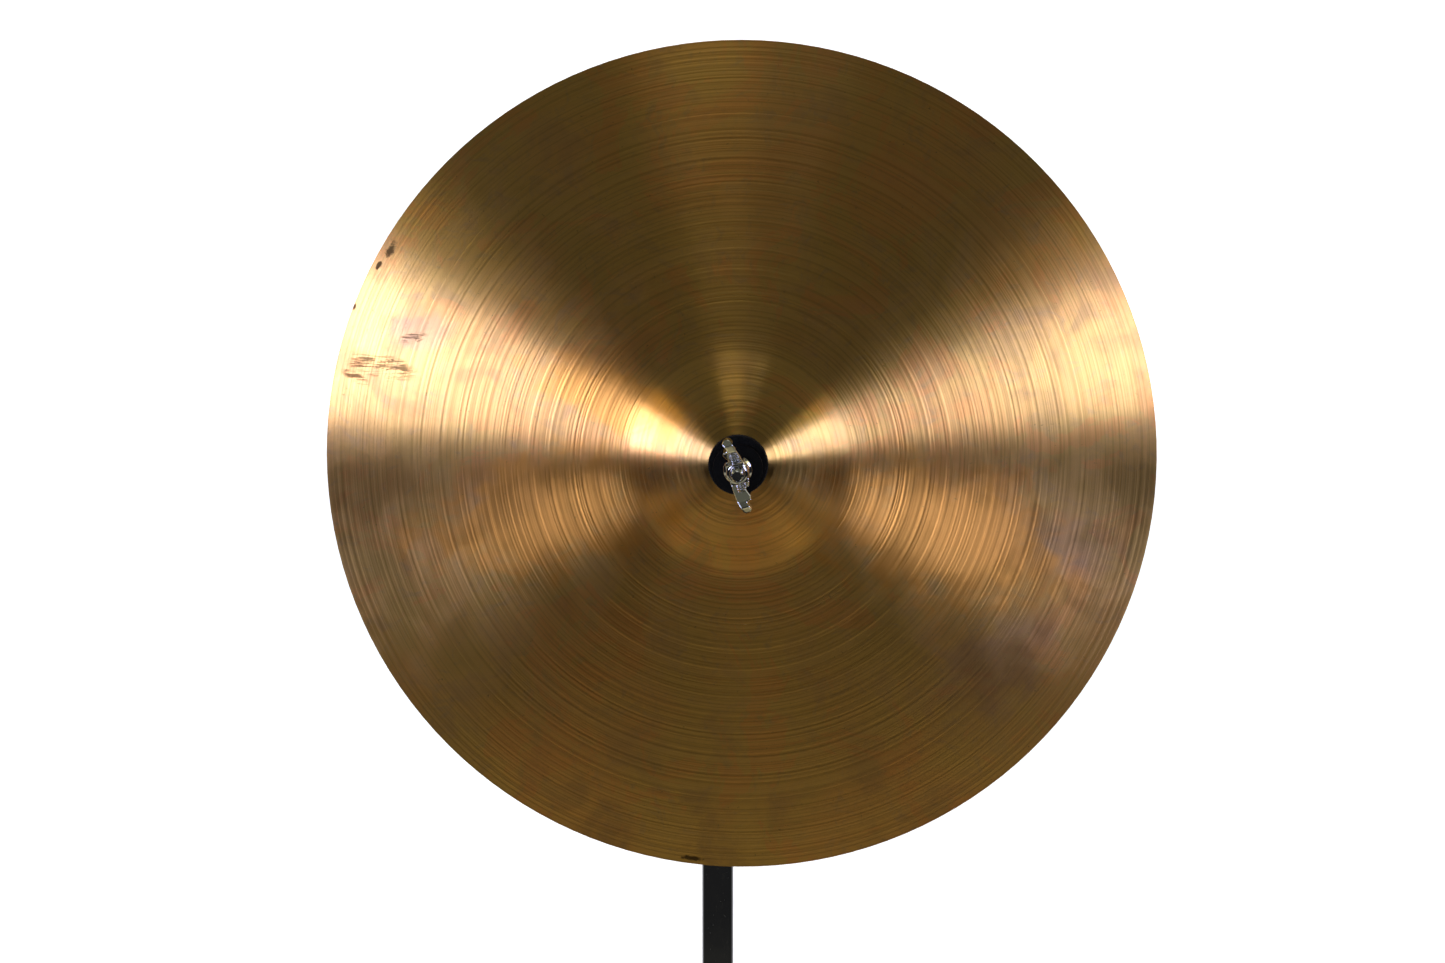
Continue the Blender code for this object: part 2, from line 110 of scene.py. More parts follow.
class Wiring:
    """Adds nodes to a tree. An input takes a number, a tuple or another node's output."""

    def __init__(self, tree):
        self.tree = tree

    def feed(self, socket, value):
        if isinstance(value, bpy.types.NodeSocket):
            self.tree.links.new(value, socket)
        else:
            socket.default_value = value

    def add(self, kind, feeds=None, **settings):
        node = self.tree.nodes.new(kind)
        for name, value in settings.items():
            setattr(node, name, value)
        for key, value in (feeds or {}).items():
            self.feed(node.inputs[key], value)
        return node

    def math(self, operation, first, second=0.0):
        return self.add("ShaderNodeMath", {0: first, 1: second}, operation=operation).outputs[0]

    def least(self, first, second):
        return self.math("MINIMUM", first, second)

    def most(self, first, second):
        return self.math("MAXIMUM", first, second)

    def plus(self, first, second):
        return self.math("ADD", first, second)

    def minus(self, first, second):
        return self.math("SUBTRACT", first, second)

    def times(self, first, second):
        return self.math("MULTIPLY", first, second)

    def over(self, first, second):
        return self.math("DIVIDE", first, second)

    def square(self, value):
        return self.times(value, value)

    def shifted(self, place, offset):
        return self.add("ShaderNodeVectorMath", {0: place, 1: offset}, operation="ADD").outputs[0]

    def stretched(self, place, scales):
        return self.add("ShaderNodeVectorMath", {0: place, 1: scales}, operation="MULTIPLY").outputs[0]

    def around_axis(self, radius, turn):
        """X and Y of the place at this radius and angle."""
        x = self.times(radius, self.math("COSINE", turn))
        y = self.times(radius, self.math("SINE", turn))
        return x, y

    def split(self, value):
        return self.add("ShaderNodeSeparateXYZ", {0: value}).outputs

    def join(self, x, y, z):
        return self.add("ShaderNodeCombineXYZ", {0: x, 1: y, 2: z}).outputs[0]

    def noise(self, place, scale, detail=2.0, roughness=0.5, distortion=0.0, dimensions="3D"):
        feeds = {"Scale": scale, "Detail": detail, "Roughness": roughness, "Distortion": distortion}
        feeds["W" if dimensions == "1D" else "Vector"] = place
        node = self.add("ShaderNodeTexNoise", feeds, noise_dimensions=dimensions)
        return node.outputs[0]

    def ramp(self, value, low, high, to_low=0.0, to_high=1.0):
        """A smooth step: low becomes to_low and high becomes to_high."""
        feeds = {0: value, 1: low, 2: high, 3: to_low, 4: to_high}
        return self.add("ShaderNodeMapRange", feeds, interpolation_type="SMOOTHSTEP").outputs[0]

    def blend(self, share, first, second):
        """Mixes two colours by share."""
        node = self.add("ShaderNodeMix", data_type="RGBA")
        self.feed(node.inputs[0], share)
        self.feed(node.inputs[6], first)
        self.feed(node.inputs[7], second)
        return node.outputs[2]

    def grid(self, across, along):
        """A flat grid of side 1 with this many points each way."""
        feeds = {"Size X": 1, "Size Y": 1, "Vertices X": across, "Vertices Y": along}
        return self.add("GeometryNodeMeshGrid", feeds)

    def pick(self, condition, if_false, if_true):
        node = self.add("GeometryNodeSwitch", {0: condition, 1: if_false, 2: if_true}, input_type="FLOAT")
        return node.outputs[0]

    def bump(self, height, distance, strength=1.0, normal=None):
        feeds = {"Height": height, "Distance": distance, "Strength": strength}
        if normal is not None:
            feeds["Normal"] = normal
        return self.add("ShaderNodeBump", feeds).outputs[0]


def colour(red, green, blue):
    return red, green, blue, 1.0


def shaded(base, factor, added=0.0):
    """A colour times a factor, with a little grey added."""
    return colour(*(factor * part + added for part in base[:3]))


def new_material(name, base, roughness, metallic, **numbers):
    """A material, its wiring and its shader. Numbers are uniform values of the shader's own sockets."""
    material = bpy.data.materials.new(name)
    material.use_nodes = True
    shader = material.node_tree.nodes["Principled BSDF"]
    shader.inputs["Base Color"].default_value = base
    shader.inputs["Roughness"].default_value = roughness
    shader.inputs["Metallic"].default_value = metallic
    for label, value in numbers.items():
        shader.inputs[label.replace("_", " ")].default_value = value
    return material, Wiring(material.node_tree), shader


# ---------------------------------------------------------------- materials

# Marks on the disc: middle (x, y) from the hole, half length, half width in mm, turn in degrees
RIM_STAINS = [(-171, 101, 4, 2, 60), (-177, 93, 2.2, 1, 60), (-189, 73, 1.8, 0.7, 70)]
RIM_STAINS += [(-23, -199, 6, 1.2, -6)]
COPPER_PATCHES = [(-92, -26, 62, 30, 8), (96, -34, 66, 34, -14), (-60, 30, 40, 16, -20)]
SCRIBBLES = [(-176, 44, 16, 5, -8), (-160, 58, 7, 2, 12), (-188, 38, 8, 2.5, -30)]
BROWN_PATCHES = [(-156, 62, 16, 9, 10), (-120, -20, 30, 16, 20), (150, -40, 34, 16, -15)]
BROWN_PATCHES += [(128, -98, 30, 20, 30)]

# Colours of the bronze, its patina and its marks
YELLOW_BRONZE, RED_BRONZE = colour(0.80, 0.48, 0.145), colour(0.85, 0.45, 0.145)
CLOUD, SMUDGE, RUST = colour(0.6, 0.34, 0.15), colour(0.5, 0.32, 0.19), colour(0.92, 0.4, 0.13)
BRIGHT_RING, DARK_RING = colour(0.88, 0.53, 0.18), colour(0.42, 0.23, 0.06)
BROWN, COPPER, STAIN = colour(0.5, 0.28, 0.17), colour(0.95, 0.43, 0.09), colour(0.15, 0.09, 0.035)
RING_RELIEF = 0.13 * MM  # how far the finest rings stand out, which only the shading shows


def patch_mask(wiring, place, ragged, patches):
    """1 inside the listed ellipses and 0 outside, with ragged edges."""
    total = None
    for x, y, half_length, half_width, turn in patches:
        mapping = wiring.add("ShaderNodeMapping", {"Vector": place}, vector_type="TEXTURE")
        mapping.inputs["Location"].default_value = (x * MM, y * MM, 0)
        mapping.inputs["Rotation"].default_value = (0, 0, radians(turn))
        mapping.inputs["Scale"].default_value = (half_length * MM, half_width * MM, 1)
        across = wiring.split(mapping.outputs[0])
        distance = wiring.math("SQRT", wiring.plus(wiring.square(across[0]), wiring.square(across[1])))
        mask = wiring.ramp(wiring.plus(distance, ragged), 1.25, 0.55)
        total = mask if total is None else wiring.most(total, mask)
    return total


def bronze_patina(wiring, place, radius):
    """The colour of the metal and its patina, with the noises that its roughness and relief share."""
    broad = wiring.noise(place, 14, 3, 0.55, 0.6)
    cloudy = wiring.noise(place, 38, 5, 0.62, 0.5)
    rust = wiring.noise(wiring.shifted(place, (3, 1, 0)), 24, 6, 0.66, 0.8)
    smudged = wiring.noise(wiring.shifted(place, (0, 2, 0)), 85, 5, 0.66, 1.3)
    wide_rings = wiring.noise(radius, 130, 2, 0.6, dimensions="1D")
    thin_rings = wiring.noise(radius, 620, 1, 0.5, dimensions="1D")
    tone = wiring.blend(wiring.ramp(broad, 0.38, 0.62), YELLOW_BRONZE, RED_BRONZE)
    tone = wiring.blend(wiring.ramp(cloudy, 0.47, 0.66, 0, 0.55), tone, CLOUD)
    tone = wiring.blend(wiring.ramp(smudged, 0.52, 0.68, 0, 0.34), tone, SMUDGE)
    tone = wiring.blend(wiring.ramp(rust, 0.52, 0.57, 0, 0.5), tone, RUST)
    tone = wiring.blend(wiring.ramp(wide_rings, 0.4, 0.65, 0, 0.3), tone, BRIGHT_RING)
    tone = wiring.blend(wiring.ramp(thin_rings, 0.5, 0.36, 0, 0.28), tone, DARK_RING)
    return tone, cloudy, thin_rings


def bronze_marks(wiring, place, tone):
    """Adds brown and copper patches, stains, scribbles and specks, and says where the dirt is."""
    ragged = wiring.times(wiring.minus(wiring.noise(place, 260, 4, 0.7, 0.8), 0.5), 2.4)
    loose = wiring.times(wiring.minus(wiring.noise(place, 60, 3, 0.6, 0.5), 0.5), 1.6)
    browned = wiring.times(patch_mask(wiring, place, loose, BROWN_PATCHES), 0.5)
    tone = wiring.blend(browned, tone, BROWN)
    coppered = wiring.times(patch_mask(wiring, place, loose, COPPER_PATCHES), 0.85)
    tone = wiring.blend(coppered, tone, COPPER)
    strokes = wiring.noise(wiring.stretched(place, (60, 420, 60)), 1, 3, 0.7, 1.5)
    scribbles = wiring.times(patch_mask(wiring, place, loose, SCRIBBLES), wiring.ramp(strokes, 0.44, 0.56))
    stains = wiring.most(patch_mask(wiring, place, ragged, RIM_STAINS), wiring.times(scribbles, 0.7))
    specks = wiring.ramp(wiring.noise(place, 420, 3, 0.6), 0.68, 0.76, 0, 0.5)
    dirt = wiring.most(stains, specks)
    return wiring.blend(wiring.times(dirt, 0.85), tone, STAIN), dirt


def bronze():
    """Lathed bronze: fine rings that stretch the highlights outwards, with patina, smears and stains."""
    material, wiring, shader = new_material("cymbal_bronze", YELLOW_BRONZE, 0.31, 1.0, Anisotropic=1.0)
    place = wiring.add("ShaderNodeAttribute", attribute_name="turned_place").outputs["Vector"]
    x, y, _ = wiring.split(place)
    radius = wiring.math("SQRT", wiring.plus(wiring.square(x), wiring.square(y)))
    tone, cloudy, thin_rings = bronze_patina(wiring, place, radius)
    tone, dirt = bronze_marks(wiring, place, tone)
    wiring.feed(shader.inputs["Base Color"], tone)

    rough = wiring.ramp(cloudy, 0.42, 0.62, 0.3, 0.36)
    rough = wiring.plus(rough, wiring.times(dirt, 0.25))
    wiring.feed(shader.inputs["Roughness"], rough)

    hairlines = wiring.noise(radius, 2600, 2, 0.6, dimensions="1D")
    height = wiring.plus(wiring.times(thin_rings, 0.8), wiring.times(hairlines, 0.2))
    wiring.feed(shader.inputs["Normal"], wiring.bump(height, RING_RELIEF, 1.0))
    tangent = wiring.add("ShaderNodeTangent", direction_type="UV_MAP", uv_map="UVMap").outputs[0]
    wiring.feed(shader.inputs["Tangent"], tangent)
    return material


def plated(name, base, roughness, waviness=0.02, scratches=0.25):
    """Chrome or zinc plate with a faint haze, hairline scratches and small pits."""
    material, wiring, shader = new_material(name, base, roughness, 1.0)
    place = wiring.add("ShaderNodeTexCoord").outputs["Object"]
    haze = wiring.noise(place, 90, 4, 0.6, 0.4)
    lines = wiring.noise(wiring.stretched(place, (900, 900, 120)), 1, 2, 0.8)
    marks = wiring.ramp(lines, 0.6, 0.75)
    pits = wiring.ramp(wiring.noise(place, 1500, 1, 0.5), 0.74, 0.8)
    dulled = wiring.blend(wiring.ramp(haze, 0.5, 0.8, 0, 0.4), base, shaded(base, 0.82))
    dulled = wiring.blend(wiring.times(pits, 0.6), dulled, shaded(base, 0.45))
    wiring.feed(shader.inputs["Base Color"], dulled)
    hazy = wiring.ramp(haze, 0.35, 0.75, roughness, roughness * 1.9)
    rough = wiring.plus(hazy, wiring.times(marks, scratches * 0.3))
    wiring.feed(shader.inputs["Roughness"], wiring.plus(rough, wiring.times(pits, 0.3)))
    bend = wiring.bump(wiring.noise(place, 140, 2, 0.5), waviness * MM, 0.6)
    wiring.feed(shader.inputs["Normal"], wiring.bump(marks, 0.004 * MM, scratches, bend))
    return material


def felt():
    """Pressed black wool: matted fibres, with a soft sheen and a little lint."""
    material, wiring, shader = new_material(
        "black_felt", colour(0.004, 0.004, 0.0044), 0.95, 0.0,
        Sheen_Weight=0.02, Sheen_Roughness=0.5, Specular_IOR_Level=0.08,
    )
    place = wiring.add("ShaderNodeTexCoord").outputs["Object"]
    mat = wiring.noise(place, 900, 5, 0.7, 1.2)
    clumps = wiring.noise(place, 220, 3, 0.6)
    dark, worn = colour(0.0008, 0.0008, 0.001), colour(0.003, 0.003, 0.0034)
    shade = wiring.blend(wiring.ramp(mat, 0.35, 0.7), dark, worn)
    lint = wiring.ramp(wiring.noise(place, 2300, 2, 0.5), 0.74, 0.78, 0, 0.6)
    wiring.feed(shader.inputs["Base Color"], wiring.blend(lint, shade, colour(0.02, 0.019, 0.018)))
    wiring.feed(shader.inputs["Roughness"], wiring.ramp(clumps, 0.3, 0.7, 0.88, 1.0))
    rough = wiring.plus(wiring.times(mat, 0.6), wiring.times(clumps, 0.4))
    wiring.feed(shader.inputs["Normal"], wiring.bump(rough, 0.5 * MM, 0.9))
    return material


def moulded(name, base, roughness):
    """Moulded plastic with a fine grain, scuffs and a little dust."""
    material, wiring, shader = new_material(name, base, roughness, 0.0, Specular_IOR_Level=0.06)
    place = wiring.add("ShaderNodeTexCoord").outputs["Object"]
    fine = wiring.noise(place, 900, 3, 0.6)
    scuffs = wiring.ramp(wiring.noise(place, 160, 5, 0.7, 0.8), 0.55, 0.75)
    light = shaded(base, 2.4, 0.003)
    wiring.feed(shader.inputs["Base Color"], wiring.blend(wiring.times(scuffs, 0.35), base, light))
    grained = wiring.ramp(fine, 0, 1, roughness * 0.85, roughness * 1.15)
    wiring.feed(shader.inputs["Roughness"], wiring.plus(wiring.times(scuffs, 0.25), grained))
    wiring.feed(shader.inputs["Normal"], wiring.bump(fine, 0.02 * MM, 0.5))
    return material


def fibre():
    """Pressed brown fibre board."""
    material, wiring, shader = new_material("friction_fibre", colour(0.16, 0.09, 0.05), 0.8, 0.0)
    place = wiring.add("ShaderNodeTexCoord").outputs["Object"]
    strands = wiring.noise(wiring.stretched(place, (300, 1400, 500)), 1, 4, 0.7, 0.9)
    dark, pale = colour(0.09, 0.045, 0.022), colour(0.24, 0.15, 0.085)
    shade = wiring.blend(wiring.ramp(strands, 0.3, 0.7), dark, pale)
    wiring.feed(shader.inputs["Base Color"], shade)
    wiring.feed(shader.inputs["Roughness"], wiring.ramp(strands, 0.3, 0.7, 0.9, 0.7))
    wiring.feed(shader.inputs["Normal"], wiring.bump(strands, 0.08 * MM, 0.7))
    return material


BRONZE = bronze()
CHROME = plated("chrome", colour(0.80, 0.81, 0.83), 0.035, 0.01)
CAST_CHROME = plated("cast_chrome", colour(0.74, 0.75, 0.77), 0.07, 0.05, 0.4)
ZINC = plated("zinc_steel", colour(0.66, 0.66, 0.65), 0.13, 0.02, 0.6)
FELT = felt()
NYLON = moulded("black_nylon", colour(0.0015, 0.0015, 0.0017), 0.6)
FIBRE = fibre()


# ---------------------------------------------------------------- finished pieces


def finish_piece(obj, body, material, slot, *replaced):
    """Gives a piece its material and its CAD body, and hides the solids that it stands for."""
    obj.data.materials.clear()
    obj.data.materials.append(material)
    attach(obj, body)
    if replaced:
        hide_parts(*replaced)
    return obj


def object_from(name, mesh, place=Matrix.Identity(4), sharp=radians(32)):
    """An object at the origin whose mesh is moved to its place."""
    mesh.transform(place)
    mesh.shade_smooth()
    mesh.set_sharp_from_angle(angle=sharp)
    obj = bpy.data.objects.new(name, mesh)
    scene.collection.objects.link(obj)
    return obj


def mesh_from(bm, name):
    """A mesh with its faces in a fixed order, so that what is scattered over it falls alike each time."""
    bmesh.ops.recalc_face_normals(bm, faces=bm.faces)
    bm.verts.index_update()
    faces = []
    for face in bm.faces:
        corners = [v.index for v in face.verts]
        first = corners.index(min(corners))
        faces.append(corners[first:] + corners[:first])
    mesh = bpy.data.meshes.new(name)
    mesh.from_pydata([v.co.copy() for v in bm.verts], [], sorted(faces))
    bm.free()
    return mesh


ROUND_STEPS = 3
SUPPORT = 1.1  # where the straight stretch beside a round begins, as a share of the round's reach


def rounded(outline, radius):
    """Rounds every corner of a closed (radius, height) outline that doesn't lie on the axis.

    A short straight stretch beside each round keeps the long ones evenly shaded.
    """
    points = [Vector(p) for p in outline]
    made = []
    for i, corner in enumerate(points):
        before, after = points[i - 1], points[(i + 1) % len(points)]
        reach = min(radius, (corner - before).length * 0.45, (after - corner).length * 0.45)
        if corner.x < 1e-7 or reach < 1e-6:
            made.append(tuple(corner))
            continue
        start = (before - corner).normalized() * reach
        end = (after - corner).normalized() * reach
        made.append(tuple(corner + start * SUPPORT))
        for k in range(ROUND_STEPS + 1):
            t = k / ROUND_STEPS
            made.append(tuple(corner + start * (1 - t) ** 2 + end * t**2))
        made.append(tuple(corner + end * SUPPORT))
    return made


def spin_about_z(bm, geometry, segments):
    bmesh.ops.spin(
        bm, geom=geometry, cent=(0, 0, 0), axis=(0, 0, 1), angle=2 * pi, steps=segments, use_merge=True
    )


def turned(name, outline, place, segments=96, edge=0.25 * MM):
    """Turns a closed (radius, height) outline about local Z, with softened edges."""
    bm = bmesh.new()
    verts = [bm.verts.new((r, 0, z)) for r, z in rounded(outline, edge)]
    edges = [bm.edges.new((verts[i - 1], verts[i])) for i in range(len(verts))]
    edges = [e for e in edges if max(v.co.x for v in e.verts) > 1e-7]
    spin_about_z(bm, verts + edges, segments)
    bmesh.ops.remove_doubles(bm, verts=bm.verts, dist=1e-6)
    bmesh.ops.dissolve_degenerate(bm, edges=bm.edges, dist=1e-7)
    loose = [e for e in bm.edges if not e.link_faces]
    bmesh.ops.delete(bm, geom=loose, context="EDGES")
    return object_from(name, mesh_from(bm, name), place)


def evaluated_mesh(obj):
    """The object's mesh with its modifiers applied."""
    graph = bpy.context.evaluated_depsgraph_get()
    return bpy.data.meshes.new_from_object(obj.evaluated_get(graph), depsgraph=graph)


def cast_piece(name, node, voxel, passes):
    """The solid of a casting with its edges rounded as they leave the mould."""
    mesh = nodes[node].data.copy()
    bm = bmesh.new()
    bm.from_mesh(mesh)
    bmesh.ops.remove_doubles(bm, verts=bm.verts, dist=1e-6)
    bm.to_mesh(mesh)
    bm.free()
    rough = bpy.data.objects.new(name + "_rough", mesh)
    scene.collection.objects.link(rough)
    remesh = rough.modifiers.new("remesh", "REMESH")
    remesh.mode = "VOXEL"
    remesh.voxel_size = voxel
    smooth = rough.modifiers.new("smooth", "SMOOTH")
    smooth.factor = 0.5
    smooth.iterations = passes
    made = evaluated_mesh(rough)
    bpy.data.objects.remove(rough)
    return object_from(name, made, sharp=radians(60))


# ---------------------------------------------------------------- geometry trees


def new_tree(name, inputs):
    """An empty geometry tree with named inputs, given as name: (socket kind, value)."""
    tree = bpy.data.node_groups.new(name, "GeometryNodeTree")
    tree.interface.new_socket("Geometry", in_out="OUTPUT", socket_type="NodeSocketGeometry")
    tree.interface.new_socket("Geometry", in_out="INPUT", socket_type="NodeSocketGeometry")
    for label, (kind, value) in inputs.items():
        socket = tree.interface.new_socket(label, in_out="INPUT", socket_type="NodeSocket" + kind)
        if value is not None:
            socket.default_value = value
    wiring = Wiring(tree)
    given = wiring.add("NodeGroupInput").outputs
    return tree, wiring, given


def merged(wiring, geometry):
    """Joins points that lie on each other, which closes a rolled-up grid."""
    return wiring.add("GeometryNodeMergeByDistance", {"Geometry": geometry, "Distance": 1e-6}).outputs[0]


def close_tree(wiring, geometry):
    """Ends a tree in Realize Instances and Set Material."""
    real = wiring.add("GeometryNodeRealizeInstances", {0: geometry}).outputs[0]
    material = wiring.tree.nodes["Group Input"].outputs["Material"]
    made = wiring.add("GeometryNodeSetMaterial", {0: real, 2: material}).outputs[0]
    wiring.feed(wiring.add("NodeGroupOutput").inputs[0], made)


def grow(tree, values, base=None):
    """Runs a geometry tree with these inputs, on a base mesh if one is given, and returns a plain mesh."""
    carrier = bpy.data.objects.new("carrier", base or bpy.data.meshes.new("carrier"))
    scene.collection.objects.link(carrier)
    modifier = carrier.modifiers.new("grow", "NODES")
    modifier.node_group = tree
    for item in tree.interface.items_tree:
        if item.in_out == "INPUT" and item.name in values:
            modifier[item.identifier] = values[item.name]
    made = evaluated_mesh(carrier)
    bpy.data.objects.remove(carrier)
    return made


def disc_tree():
    """A turned sheet: a grid rolled round its section one way and round the axis the other way."""
    sizes = {
        "Hole Radius": HOLE_RADIUS, "Rim Radius": RIM_RADIUS, "Bow Rise": BOW_RISE,
        "Bell Radius": BELL_RADIUS, "Bell Rise": BELL_RISE, "Bell Blend": BELL_BLEND,
        "Hole Thickness": HOLE_THICKNESS, "Rim Thickness": RIM_THICKNESS,
        "Groove Pitch": GROOVE_PITCH, "Groove Depth": GROOVE_DEPTH,
        "Fine Pitch": FINE_PITCH, "Fine Depth": FINE_DEPTH, "Hammer Depth": HAMMER_DEPTH,
        "Rim Strength": GROOVE_RIM_SHARE,
    }
    inputs = {label: ("Float", value) for label, value in sizes.items()}
    inputs.update({"Top Rings": ("Int", 620), "Under Rings": ("Int", 84), "Segments": ("Int", 136)})
    inputs["Material"] = ("Material", None)
    tree, wiring, given = new_tree("turned_disc", inputs)

    across = wiring.plus(wiring.plus(given["Top Rings"], given["Under Rings"]), 1)
    around = wiring.plus(given["Segments"], 1)
    grid = wiring.grid(across, around)
    spot = wiring.split(wiring.add("GeometryNodeInputPosition").outputs[0])
    step = wiring.math("ROUND", wiring.times(wiring.plus(spot[0], 0.5), wiring.minus(across, 1)))
    turn = wiring.times(wiring.plus(spot[1], 0.5), 2 * pi)

    # Steps run out along the top, back along the underside, and end where they began.
    top_share = wiring.over(step, wiring.minus(given["Top Rings"], 1))
    back = wiring.minus(step, given["Top Rings"])
    under_share = wiring.minus(1, wiring.over(back, wiring.minus(given["Under Rings"], 1)))
    is_under = wiring.math("GREATER_THAN", back, -0.5)
    is_last = wiring.math("GREATER_THAN", back, wiring.minus(given["Under Rings"], 0.5))
    share = wiring.pick(is_last, wiring.pick(is_under, top_share, under_share), 0.0)
    under = wiring.pick(is_last, is_under, 0.0)
    width = wiring.minus(given["Rim Radius"], given["Hole Radius"])
    radius = wiring.plus(given["Hole Radius"], wiring.times(share, width))

    def surface(at_radius):
        """The top's height above the plane of the rim."""
        out = wiring.math("POWER", wiring.over(at_radius, given["Rim Radius"]), 3)
        bow = wiring.times(given["Bow Rise"], wiring.minus(1, out))
        dome_out = wiring.square(wiring.over(at_radius, given["Bell Radius"]))
        dome = wiring.times(given["Bell Rise"], wiring.minus(1, dome_out))
        soft = wiring.math("SQRT", wiring.plus(wiring.square(dome), wiring.square(given["Bell Blend"])))
        return wiring.plus(bow, wiring.times(wiring.plus(dome, soft), 0.5))

    def rings(pitch, seed, wander):
        """How many grooves of this pitch lie inside a radius, unevenly spaced, and how deep each is cut."""
        drift = wiring.noise(wiring.plus(radius, seed), 70, 2, 0.5, dimensions="1D")
        count = wiring.plus(wiring.over(radius, pitch), wiring.times(drift, wander))
        cut = wiring.noise(wiring.plus(radius, seed), 210, 2, 0.6, dimensions="1D")
        return count, wiring.ramp(cut, 0.3, 0.7, 0.3, 1)

    count, strength = rings(given["Groove Pitch"], 0.3, 3)
    scallop = wiring.math("ABSOLUTE", wiring.math("SINE", wiring.times(count, pi)))
    coarse = wiring.times(wiring.times(scallop, strength), given["Groove Depth"])
    count, strength = rings(given["Fine Pitch"], 0.7, 5)
    wave = wiring.math("SINE", wiring.times(count, 2 * pi))
    fine = wiring.times(wiring.times(wave, strength), given["Fine Depth"])
    past_hole = wiring.minus(radius, given["Hole Radius"])
    fade = wiring.ramp(past_hole, *HOLE_FADE)
    fade = wiring.times(fade, wiring.ramp(radius, *RIM_FADE, 1.0, given["Rim Strength"]))
    groove = wiring.times(wiring.plus(coarse, fine), fade)
    x, y = wiring.around_axis(radius, turn)
    dents = wiring.minus(wiring.noise(wiring.join(x, y, 0), 38, 2, 0.5), 0.5)
    hammered = wiring.times(wiring.times(dents, given["Hammer Depth"]), 2)
    falling = wiring.minus(given["Hole Thickness"], given["Rim Thickness"])
    thickness = wiring.minus(given["Hole Thickness"], wiring.times(share, falling))
    middle = wiring.minus(surface(given["Hole Radius"]), wiring.times(given["Hole Thickness"], 0.5))
    height = wiring.plus(wiring.minus(surface(radius), middle), wiring.plus(groove, hammered))
    height = wiring.minus(height, wiring.times(under, wiring.times(thickness, SLOPE_ALLOWANCE)))
    place = wiring.join(x, y, height)

    with_uv = wiring.add(
        "GeometryNodeStoreNamedAttribute",
        {"Geometry": grid.outputs["Mesh"], "Name": "UVMap"},
        data_type="FLOAT2", domain="CORNER",
    )
    uv = wiring.split(grid.outputs["UV Map"])
    wiring.feed(with_uv.inputs["Value"], wiring.join(uv[0], uv[1], 0))
    set_place = wiring.add("GeometryNodeSetPosition", {"Geometry": with_uv.outputs[0], "Position": place})
    stored = wiring.add(
        "GeometryNodeStoreNamedAttribute",
        {"Geometry": set_place.outputs[0], "Name": "turned_place"},
        data_type="FLOAT_VECTOR", domain="POINT",
    )
    wiring.feed(stored.inputs["Value"], wiring.add("GeometryNodeInputPosition").outputs[0])
    close_tree(wiring, merged(wiring, stored.outputs[0]))
    return tree


def thread_tree():
    """A threaded bar along local Z: a rolled-up grid whose radius follows a helix, closed at both ends."""
    inputs = {"Length": ("Float", 0.03), "Radius": ("Float", 0.003), "Depth": ("Float", 0.0005)}
    inputs.update({"Pitch": ("Float", 0.001), "Chamfer": ("Float", 0.0007), "Steps Per Turn": ("Int", 8)})
    inputs.update({"Segments": ("Int", 40), "Material": ("Material", None)})
    tree, wiring, given = new_tree("threaded_bar", inputs)
    turns = wiring.over(given["Length"], given["Pitch"])
    along = wiring.plus(wiring.math("ROUND", wiring.times(turns, given["Steps Per Turn"])), 3)
    around = wiring.plus(given["Segments"], 1)
    grid = wiring.grid(along, around)
    spot = wiring.split(wiring.add("GeometryNodeInputPosition").outputs[0])
    last = wiring.minus(along, 1)
    step = wiring.math("ROUND", wiring.times(wiring.plus(spot[0], 0.5), last))
    inner_steps = wiring.minus(last, 2)
    share = wiring.least(wiring.most(wiring.over(wiring.minus(step, 1), inner_steps), 0), 1)
    height = wiring.times(share, given["Length"])
    turn = wiring.times(wiring.plus(spot[1], 0.5), 2 * pi)
    lead = wiring.minus(wiring.over(height, given["Pitch"]), wiring.over(turn, 2 * pi))
    tooth = wiring.math("ABSOLUTE", wiring.minus(wiring.math("FRACT", lead), 0.5))
    flank = wiring.least(wiring.times(tooth, 2.6), 1)
    radius = wiring.minus(given["Radius"], wiring.times(flank, given["Depth"]))
    to_end = wiring.least(height, wiring.minus(given["Length"], height))
    cone = wiring.plus(wiring.minus(given["Radius"], given["Chamfer"]), to_end)
    radius = wiring.least(radius, cone)
    is_first = wiring.math("LESS_THAN", step, 0.5)
    is_last = wiring.math("GREATER_THAN", step, wiring.minus(last, 0.5))
    radius = wiring.pick(wiring.most(is_first, is_last), radius, 0.0)
    place = wiring.join(*wiring.around_axis(radius, turn), height)
    moved = wiring.add("GeometryNodeSetPosition", {"Geometry": grid.outputs["Mesh"], "Position": place})
    close_tree(wiring, merged(wiring, moved.outputs[0]))
    return tree


